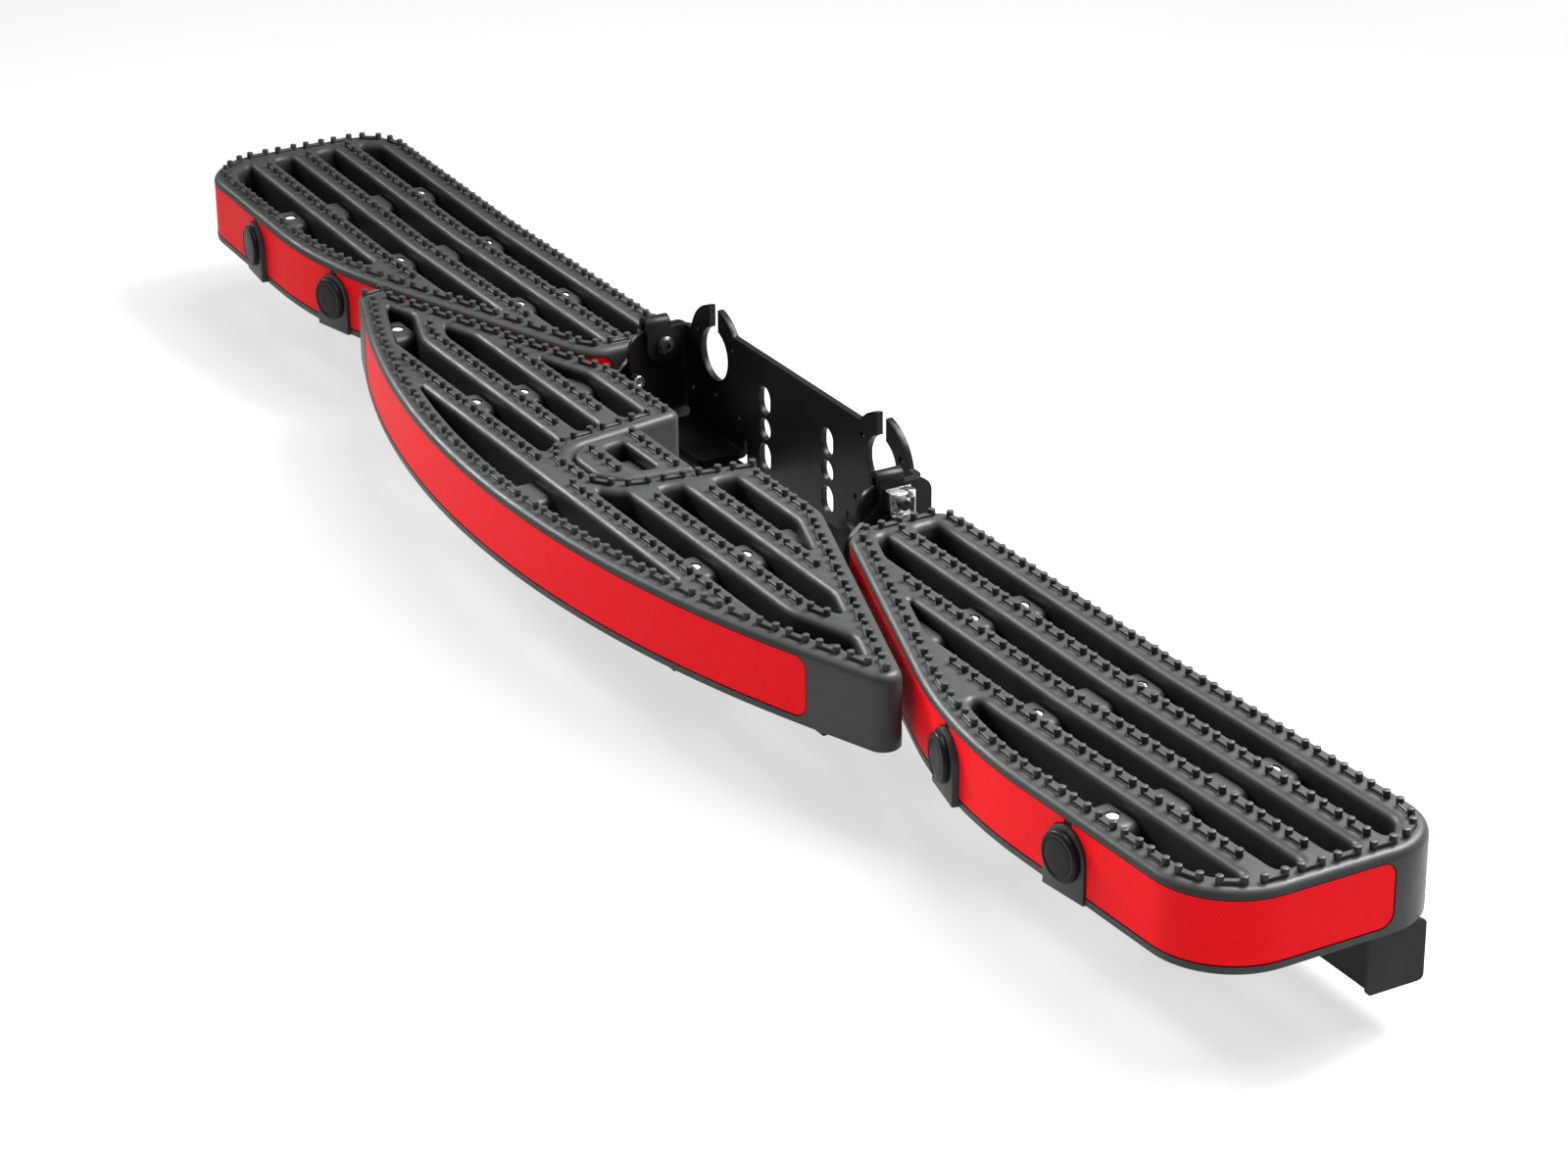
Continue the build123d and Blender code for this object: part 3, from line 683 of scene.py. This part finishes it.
def material(name):
    made = bpy.data.materials.new(name)
    made.use_nodes = True
    tree = made.node_tree
    return made, tree, tree.nodes["Principled BSDF"]


def add_node(tree, kind, **settings):
    node = tree.nodes.new(kind)
    for key, value in settings.items():
        setattr(node, key, value)
    return node


def noise(tree, scale, detail=2.0, rough=0.5):
    where = add_node(tree, "ShaderNodeTexCoord")
    made = add_node(tree, "ShaderNodeTexNoise")
    made.inputs["Scale"].default_value = scale
    made.inputs["Detail"].default_value = detail
    made.inputs["Roughness"].default_value = rough
    tree.links.new(where.outputs["Object"], made.inputs["Vector"])
    return made.outputs["Fac"]


def ramp(tree, source, stops):
    """Colour ramp from (position, colour) pairs."""
    made = add_node(tree, "ShaderNodeValToRGB")
    points = made.color_ramp.elements
    while len(points) < len(stops):
        points.new(0.5)
    for point, (position, colour) in zip(points, stops):
        point.position = position
        point.color = (*colour, 1)
    tree.links.new(source, made.inputs["Fac"])
    return made.outputs["Color"]


def spread(tree, source, low, high):
    """A noise stretched to a range."""
    made = add_node(tree, "ShaderNodeMapRange")
    made.inputs["From Min"].default_value = NOISE_RANGE[0]
    made.inputs["From Max"].default_value = NOISE_RANGE[1]
    made.inputs["To Min"].default_value = low
    made.inputs["To Max"].default_value = high
    tree.links.new(source, made.inputs["Value"])
    return made.outputs["Result"]


def bump(tree, shader, source, strength, distance):
    made = add_node(tree, "ShaderNodeBump")
    made.inputs["Strength"].default_value = strength
    made.inputs["Distance"].default_value = distance
    tree.links.new(source, made.inputs["Height"])
    tree.links.new(made.outputs["Normal"], shader.inputs["Normal"])


def painted_recess_shade(tree, colour, reach, darkest):
    """Painted shade: a colour darkened by ambient occlusion in narrow recesses, where shade falls."""
    shade = add_node(tree, "ShaderNodeAmbientOcclusion", samples=PAINTED_SHADE_SAMPLES, only_local=True)
    shade.inputs["Distance"].default_value = reach
    grey = ramp(tree, shade.outputs["AO"], list(zip(PAINTED_SHADE_RANGE, ((darkest,) * 3, (1, 1, 1)))))
    blend = add_node(tree, "ShaderNodeMix", data_type="RGBA", blend_type="MULTIPLY")
    blend.inputs["Factor"].default_value = 1.0
    tree.links.new(colour, blend.inputs["A"])
    tree.links.new(grey, blend.inputs["B"])
    return blend.outputs["Result"]


def grained(name, dark, light, rough, grain, strength, metallic=0.0, specular=0.5, recess_shade=None):
    """Moulded or coated surface: fine grain, a little cloudiness and uneven gloss, and painted shade in
    recesses where asked for.
    """
    made, tree, shader = material(name)
    clouds = noise(tree, CLOUD_SCALE, CLOUD_DETAIL)
    colour = ramp(tree, clouds, list(zip(CLOUD_RANGE, (dark, light))))
    if recess_shade:
        colour = painted_recess_shade(tree, colour, *recess_shade)
    tree.links.new(colour, shader.inputs["Base Color"])
    gloss = spread(tree, noise(tree, GLOSS_SCALE, GLOSS_DETAIL), *rough)
    tree.links.new(gloss, shader.inputs["Roughness"])
    bump(tree, shader, noise(tree, grain, GRAIN_DETAIL, GRAIN_ROUGHNESS), strength, GRAIN_HEIGHT)
    shader.inputs["Metallic"].default_value = metallic
    shader.inputs["Specular IOR Level"].default_value = specular
    return made


def vector_math(tree, operation, a, b=None):
    made = add_node(tree, "ShaderNodeVectorMath", operation=operation)
    tree.links.new(a, made.inputs[0])
    if b is not None:
        made.inputs[1].default_value = b
    return made.outputs["Value" if operation == "LENGTH" else "Vector"]


def reflective(name):
    """Red sheet of small six-sided cells, whose middles lie on two lattices of rectangles."""
    made, tree, shader = material(name)
    where = add_node(tree, "ShaderNodeUVMap", uv_map="along")
    rectangle = (1.0, math.sqrt(3), 1.0)
    scaled = vector_math(tree, "MULTIPLY", where.outputs["UV"], (1 / CELL_WIDTH, 1 / CELL_WIDTH, 0.0))
    shifted = vector_math(tree, "ADD", scaled, (0.5, math.sqrt(3) / 2, 0.0))
    nearest = add_node(tree, "ShaderNodeMath", operation="MINIMUM")
    for i, lattice in enumerate((scaled, shifted)):
        wrapped = vector_math(tree, "FRACTION", vector_math(tree, "DIVIDE", lattice, rectangle))
        centred = vector_math(tree, "SUBTRACT", wrapped, (0.5, 0.5, 0.0))
        stretched = vector_math(tree, "MULTIPLY", centred, (1.0, math.sqrt(3), 0.0))
        tree.links.new(vector_math(tree, "LENGTH", stretched), nearest.inputs[i])
    height = nearest.outputs["Value"]
    tree.links.new(ramp(tree, height, CELL_COLOURS), shader.inputs["Base Color"])
    bump(tree, shader, height, CELL_STRENGTH, CELL_HEIGHT)
    shader.inputs["Roughness"].default_value = SHEET_ROUGHNESS
    shader.inputs["Specular IOR Level"].default_value = SHEET_SPECULAR
    return made


TREAD = grained(
    "tread_moulding",
    dark=(0.033, 0.036, 0.0355),
    light=(0.041, 0.0445, 0.0435),
    rough=(0.34, 0.44),
    grain=900.0,
    strength=0.5,
    specular=0.16,
    # painted shade: the slots and other narrow recesses are darkened in the base colour
    recess_shade=(30 * MM, 0.15),
)
PLUG = grained(
    "plug_moulding",
    dark=(0.008, 0.008, 0.009),
    light=(0.012, 0.012, 0.013),
    rough=(0.30, 0.40),
    grain=700.0,
    strength=0.12,
    specular=0.08,
)
CAP = grained(
    "cap_moulding",
    dark=(0.014, 0.014, 0.014),
    light=(0.019, 0.019, 0.019),
    rough=(0.45, 0.55),
    grain=800.0,
    strength=0.2,
    specular=0.12,
)
SCREW = grained(
    "screw_plate",
    dark=(0.80, 0.80, 0.79),
    light=(0.88, 0.88, 0.87),
    rough=(0.35, 0.5),
    grain=500.0,
    strength=0.1,
    metallic=0.3,
)
STEEL = grained(
    "black_coat",
    dark=(0.006, 0.006, 0.007),
    light=(0.009, 0.009, 0.010),
    rough=(0.30, 0.40),
    grain=420.0,
    strength=0.18,
    specular=0.10,
)
ZINC = grained(
    "zinc_plate",
    dark=(0.62, 0.62, 0.60),
    light=(0.74, 0.74, 0.72),
    rough=(0.22, 0.36),
    grain=500.0,
    strength=0.15,
    metallic=1.0,
)
DARK_ZINC = grained(
    "dark_bolt",
    dark=(0.010, 0.010, 0.010),
    light=(0.016, 0.016, 0.016),
    rough=(0.28, 0.40),
    grain=500.0,
    strength=0.15,
    specular=0.4,
)
RED = reflective("reflective_sheet")


# Wings

def bend(x):
    return max(0.0, x - BEND_X) * BEND_SLOPE


def bend_turn(x):
    return math.atan(BEND_SLOPE) if x > BEND_X else 0.0


def slot_y(row, x=0.0):
    return FIRST_SLOT_MIDDLE - row * ROW_PITCH + bend(x)


def wing_screw_places():
    back_row = [(x, slot_y(0, x)) for x in WING_COLUMNS]
    return back_row + [(x, slot_y(row + 1, x)) for row, x in enumerate(WING_COLUMNS)]


def wing_plain_places():
    inner, middle, outer = WING_COLUMNS
    return [(x, slot_y(row, x)) for row, x in ((1, middle), (1, outer), (2, inner), (2, outer))]


def sensor_place(wall, x, turn):
    """Middle of a sensor seat on the wall, and the direction that it faces."""
    point, _ = wall.place(wall.front(x))
    return point, Vector((-math.sin(turn), -math.cos(turn)))


def add_seat(bm, point, normal):
    """Arch-topped pedestal of a sensor, with a bevelled front edge."""
    across = Vector((-normal.y, normal.x))
    turns = [math.pi * i / SEAT_STEPS for i in range(SEAT_STEPS + 1)]
    outline = [Vector((SEAT_RADIUS, SKIRT - SENSOR_Z))]
    outline += [Vector((SEAT_RADIUS * math.cos(t), SEAT_RADIUS * math.sin(t))) for t in turns]
    outline.append(Vector((-SEAT_RADIUS, SKIRT - SENSOR_Z)))
    levels = (
        (-SEAT_DEPTH, 0),
        (SEAT_PROUD - SEAT_EDGE, 0),
        (SEAT_PROUD - SEAT_EDGE_STEP, SEAT_EDGE_STEP),
        (SEAT_PROUD, SEAT_EDGE),
    )
    rings = []
    for out, inset in levels:
        made = []
        for p in grown(outline, -inset):
            at = point + across * p.x + normal * out
            made.append(bm.verts.new((at.x, at.y, SENSOR_Z + p.y)))
        rings.append(made)
    prism_rings(bm, rings)


def plug_mesh(point, normal):
    out = Vector((normal.x, normal.y, 0))
    side = Vector((-normal.y, normal.x, 0))
    at = Vector((point.x, point.y, SENSOR_Z)) + out * SEAT_PROUD
    place = Matrix.Translation(at) @ Matrix((side, (0, 0, 1), out)).transposed().to_4x4()
    bm = bmesh.new()
    lathe(bm, in_metres(PLUG_SIDE + PLUG_GROOVE + PLUG_FACE), PLUG_SIDES, place)
    return bm


def build_wings():
    outer, slots = tread_outlines("right_wing_tread")
    wall = Wall(outer)
    start = wall.find(*WING_STRIP_START)
    end = wall.find(*WING_STRIP_END, start)
    bm = recessed_shell(outer, slots, wall, start, end)
    for x, y in wing_screw_places():
        add_pad(bm, x, y, SKIRT, bend_turn(x), hole=True)
    for x, y in wing_plain_places():
        add_pad(bm, x, y, PAD_FOOT, bend_turn(x))
    add_cleats(bm, "right_wing_tread")
    for sensor in SENSORS:
        add_seat(bm, *sensor_place(wall, *sensor))
    both("wing_moulding", bm, TREAD, "wing_tread")
    fronts = [wall.front(x) for x, _ in SENSORS]
    seats = [front if front >= start else front + wall.length for front in fronts]
    lows = [start] + [seat + SEAT_NECK for seat in seats]
    highs = [seat - SEAT_NECK for seat in seats] + [end]
    for position, low, high in zip(POSITIONS, lows, highs):
        strip = strip_mesh(wall, start, end, seats, low, high)
        both(f"{position}_strip", strip, RED, f"{position}_reflector")
    for position, sensor in zip(("inner", "outer"), SENSORS):
        plug = plug_mesh(*sensor_place(wall, *sensor))
        both(f"{position}_plug", plug, PLUG, f"{position}_sensor_plug")
    both("wing_screws", screws_at(wing_screw_places()), SCREW, None)


# Centre section and infill

def centre_screw_places():
    places = [(side * CENTRE_COLUMN, slot_y(row)) for side in (-1, 1) for row in CENTRE_ROWS]
    return places + [(side * CENTRE_OUTER[0], CENTRE_OUTER[1]) for side in (-1, 1)]


def centre_plain_places():
    places = [(side * CENTRE_PLAIN_COLUMN, slot_y(CENTRE_PLAIN_ROW)) for side in (-1, 1)]
    return places + [(0, slot_y(CENTRE_FRONT_ROW))]


def build_centre():
    outer, slots = tread_outlines("centre_tread")
    wall = Wall(outer)
    start = wall.find(-CENTRE_STRIP_X, CENTRE_STRIP_Y)
    end = wall.find(CENTRE_STRIP_X, CENTRE_STRIP_Y, start)
    bm = recessed_shell(outer, slots, wall, start, end)
    for x, y in centre_screw_places():
        add_pad(bm, x, y, SKIRT, hole=True)
    for x, y in centre_plain_places():
        add_pad(bm, x, y, PAD_FOOT)
    add_cleats(bm, "centre_tread")
    centre = piece("centre_moulding", mesh_from(bm, "centre_moulding"), TREAD)
    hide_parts("centre_tread")
    band = strip_mesh(wall, start, end, [], start, end)
    strip = piece("centre_strip", mesh_from(band, "centre_strip"), RED)
    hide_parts("centre_reflector")


def build_infill():
    bm = shell(*tread_outlines("tow_ball_infill"), INFILL_ROUND)
    add_pad(bm, 0, slot_y(INFILL_ROW), SKIRT)
    add_cleats(bm, "tow_ball_infill")
    infill = piece("infill_moulding", mesh_from(bm, "infill_moulding"), TREAD)
    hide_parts("tow_ball_infill")


def build_centre_screws():
    screws = piece("centre_screws", mesh_from(screws_at(centre_screw_places()), "centre_screws"), SCREW)


# Cage nuts and locating pins

def add_block(bm, low, high, edge):
    """Box with bevelled edges, between two corners from the cage's place, in millimetres."""
    made = bmesh.ops.create_cube(bm, size=1.0)["verts"]
    size = [(b - a) * MM for a, b in zip(low, high)]
    middle = [(at + (a + b) / 2) * MM for at, a, b in zip(CAGE_PLACE, low, high)]
    bmesh.ops.scale(bm, vec=size, verts=made)
    bmesh.ops.translate(bm, vec=middle, verts=made)
    edges = list({e for v in made for e in v.link_edges})
    bmesh.ops.bevel(
        bm, geom=edges, offset=edge * MM, segments=BEVEL_STEPS, affect="EDGES", profile=BEVEL_PROFILE
    )


def mirrored(block):
    """The block on the other side of the bolt."""
    low, high, edge = block
    return (low[0], -high[1], low[2]), (high[0], -low[1], high[2]), edge


def build_cages():
    bm = bmesh.new()
    springs = (CAGE_SPRING, mirrored(CAGE_SPRING), CAGE_EAR, mirrored(CAGE_EAR))
    for block in (CAGE_PLATE, *springs, CAGE_LIP, CAGE_NUT):
        add_block(bm, *block)
    both("cage", bm, ZINC, "cage_nut")


def build_pins():
    bm = bmesh.new()
    place = Matrix.Translation(Vector(PIN_PLACE) * MM) @ Matrix.Rotation(-math.pi / 2, 4, "Y")
    lathe(bm, in_metres(PIN_PROFILE), PIN_SIDES, place)
    bare_x = (PIN_PLACE[0] - PIN_COATED) * MM
    for face in bm.faces:
        face.material_index = 1 if face.calc_center_median().x < bare_x else 0
    both("pin", bm, STEEL, "locating_pin")
    for side in SIDES:
        bpy.data.objects[f"{side}_pin"].data.materials.append(ZINC)


# CAD nodes that stay: edges softened, new finishes

def dressed(name, finish, edge):
    obj = nodes[name]
    obj.data.materials.clear()
    obj.data.materials.append(finish)
    weld = obj.modifiers.new("weld", "WELD")
    weld.merge_threshold = WELD_REACH
    soft = obj.modifiers.new("edges", "BEVEL")
    soft.width = edge
    soft.segments = BEVEL_STEPS
    soft.limit_method = "ANGLE"
    soft.angle_limit = BEVEL_ANGLE
    soft.harden_normals = True


def dress_nodes():
    dressed("main_bracket", STEEL, BRACKET_EDGE)
    dressed("centre_carrier", STEEL, CARRIER_EDGE)
    for side in SIDES:
        dressed(f"{side}_arm_bracket", STEEL, BRACKET_EDGE)
        dressed(f"{side}_tube", STEEL, TUBE_EDGE)
        dressed(f"{side}_end_cap", CAP, CAP_EDGE)
        for position in POSITIONS:
            dressed(f"{side}_{position}_cross_bar", STEEL, CROSS_BAR_EDGE)
        dressed(f"{side}_arm_bolt", DARK_ZINC, BOLT_EDGE)


# Stage

def pale_floor(height):
    made, tree, shader = material("pale_floor")
    greys = [(position, (grey,) * 3) for position, grey in zip(NOISE_RANGE, FLOOR_GREYS)]
    tree.links.new(ramp(tree, noise(tree, FLOOR_CLOUD_SCALE), greys), shader.inputs["Base Color"])
    shader.inputs["Roughness"].default_value = FLOOR_ROUGHNESS
    shader.inputs["Specular IOR Level"].default_value = FLOOR_SPECULAR
    shader.inputs["Emission Color"].default_value = (1, 1, 1, 1)
    shader.inputs["Emission Strength"].default_value = FLOOR_GLOW
    mesh = bpy.data.meshes.new("floor")
    corners = ((-1, -1), (1, -1), (1, 1), (-1, 1))
    mesh.from_pydata([(x * FLOOR_REACH, y * FLOOR_REACH, height) for x, y in corners], [], [(0, 1, 2, 3)])
    mesh.materials.append(made)
    obj = bpy.data.objects.new("floor", mesh)
    bpy.context.scene.collection.objects.link(obj)


def white_world():
    world = bpy.data.worlds.new("studio")
    world.use_nodes = True
    background = world.node_tree.nodes["Background"]
    background.inputs["Color"].default_value = (1, 1, 1, 1)
    background.inputs["Strength"].default_value = WORLD_STRENGTH
    bpy.context.scene.world = world


def area_light(name, place, target, size, power, spread_angle=180):
    lamp = bpy.data.lights.new(name, "AREA")
    lamp.shape = "DISK"
    lamp.size = size
    lamp.energy = power
    lamp.spread = math.radians(spread_angle)
    obj = bpy.data.objects.new(name, lamp)
    obj.location = place
    obj.rotation_euler = (Vector(target) - Vector(place)).to_track_quat("-Z", "Y").to_euler()
    bpy.context.scene.collection.objects.link(obj)


def add_camera():
    across = math.cos(ELEVATION)
    ahead = Vector((-math.sin(AZIMUTH) * across, math.cos(AZIMUTH) * across, -math.sin(ELEVATION)))
    level = ahead.cross(Vector((0, 0, 1))).normalized()
    upright = level.cross(ahead)
    right = level * math.cos(ROLL) + upright * math.sin(ROLL)
    up = upright * math.cos(ROLL) - level * math.sin(ROLL)
    eye = FRAME_SHIFT - right * CAMERA_SHIFT.x - up * CAMERA_SHIFT.y - ahead * CAMERA_SHIFT.z
    optics = bpy.data.cameras.new("camera")
    optics.sensor_fit = "HORIZONTAL"
    optics.sensor_width = FILM_WIDTH
    optics.lens = FILM_WIDTH * FOCAL_PIXELS / PHOTO_WIDTH
    camera = bpy.data.objects.new("camera", optics)
    camera.matrix_world = Matrix.Translation(eye) @ Matrix((right, up, -ahead)).transposed().to_4x4()
    bpy.context.scene.collection.objects.link(camera)
    bpy.context.scene.camera = camera


# The scene

build_wings()
build_centre()
build_infill()
build_centre_screws()
build_cages()
build_pins()
dress_nodes()
pale_floor(cad_box[0][2] - FLOOR_DROP)
white_world()
area_light("overhead", place=(0.4, 0.9, 2.5), target=(0, -0.1, 0), size=2.6, power=75)
area_light("key", place=(0.25, 0.8, 1.15), target=(0.3, -0.1, 0), size=0.9, power=34, spread_angle=120)
area_light("edge", place=(-2.6, -1.0, 1.6), target=(1.1, -0.1, 0), size=1.1, power=5.6, spread_angle=28)
add_camera()
bpy.context.scene.view_settings.view_transform = "Standard"

bpy.context.view_layer.update()
